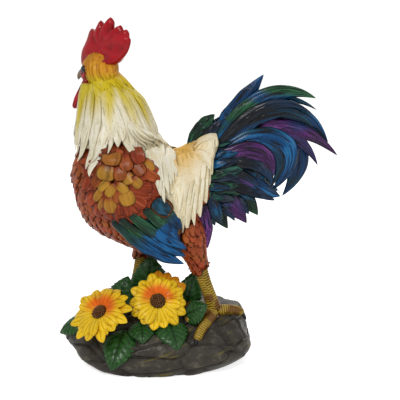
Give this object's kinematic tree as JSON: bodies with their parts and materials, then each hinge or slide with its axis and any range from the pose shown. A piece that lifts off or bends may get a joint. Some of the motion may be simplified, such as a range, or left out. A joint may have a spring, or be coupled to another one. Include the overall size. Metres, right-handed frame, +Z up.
{
  "type": "rooster figurine",
  "caption": "Painted cast figure of a striding rooster with a fanned sickle tail, on a rock with sunflowers and leaves; an ornament that stands on a felt-covered underside.",
  "frame": {"origin": "middle of the felt on the underside, where the figure rests", "axes": "+Z up; the bird's body points along -X, its left side is -Y, and the head turns to its right"},
  "size_m": [0.2441, 0.1246, 0.3012],
  "materials": {
    "beak_horn": "cast resin, horn brown",
    "comb_red": "cast resin, glossy crimson",
    "cream_hackle": "cast resin, cream over yellow, grey wash in the grooves",
    "disc_brown": "cast resin, dark stippled brown",
    "eye_black": "glossy black bead",
    "face_ochre": "cast resin, ochre shaded to yellow",
    "felt": "thin self-adhesive felt",
    "leaf_green": "cast resin, dark green with lighter dusting",
    "leg_yellow": "cast resin, yellow with brown wash in the scales",
    "petal_yellow": "cast resin, yellow shaded to orange",
    "rock_resin": "cast resin, dark wash with olive dry-brushing",
    "rod_steel": "plain drawn wire",
    "rust_feathers": "cast resin, rust with dark wash between feathers",
    "stem_green": "painted wire",
    "tail_blue": "cast resin, glossy deep blue",
    "tail_core": "cast resin, near black",
    "tail_green": "cast resin, glossy dark green",
    "tail_purple": "cast resin, glossy purple",
    "wing_blue": "cast resin, glossy blue and dark green"
  },
  "bodies": {
    "root": {"comb": "comb_red", "felt_base_pad": "felt", "head": "face_ochre", "leaf_behind_left_flower": "leaf_green", "leaf_behind_right_flower": "leaf_green", "leaf_far_left": "leaf_green", "leaf_front_left": "leaf_green", "leaf_front_middle": "leaf_green", "leaf_front_right": "leaf_green", "leaf_near_foot": "leaf_green", "leaf_tall": "leaf_green", "left_body_shell": "rust_feathers", "left_eye": "eye_black", "left_flower_disc": "disc_brown", "left_flower_petals": "petal_yellow", "left_flower_stem": "stem_green", "left_foot": "leg_yellow", "left_leg_rod": "rod_steel", "left_saddle_hackle": "cream_hackle", "left_thigh": "rust_feathers", "left_wattle": "comb_red", "left_wing_flights": "wing_blue", "left_wing_shield": "rust_feathers", "lower_beak": "beak_horn", "neck_cape": "cream_hackle", "neck_rod": "rod_steel", "right_body_shell": "rust_feathers", "right_eye": "eye_black", "right_flower_disc": "disc_brown", "right_flower_petals": "petal_yellow", "right_flower_stem": "stem_green", "right_foot": "leg_yellow", "right_leg_rod": "rod_steel", "right_saddle_hackle": "cream_hackle", "right_thigh": "rust_feathers", "right_wattle": "comb_red", "right_wing_flights": "wing_blue", "right_wing_shield": "rust_feathers", "rock_base": "rock_resin", "tail_back_covert": "tail_blue", "tail_block": "tail_core", "tail_blue_sickle": "tail_blue", "tail_green_sickle": "tail_green", "tail_left_curl": "tail_blue", "tail_left_fluff": "tail_purple", "tail_left_green": "tail_green", "tail_left_inner_blue": "tail_blue", "tail_left_low_purple": "tail_purple", "tail_left_lower_blue": "tail_blue", "tail_low_green": "tail_green", "tail_purple_sickle": "tail_purple", "tail_right_curl": "tail_blue", "tail_right_fluff": "tail_purple", "tail_right_green": "tail_green", "tail_right_inner_blue": "tail_blue", "tail_right_low_purple": "tail_purple", "tail_right_lower_blue": "tail_blue", "tail_rod": "rod_steel", "tail_top_blue": "tail_blue", "upper_beak": "beak_horn"}
  },
  "joints": []
}
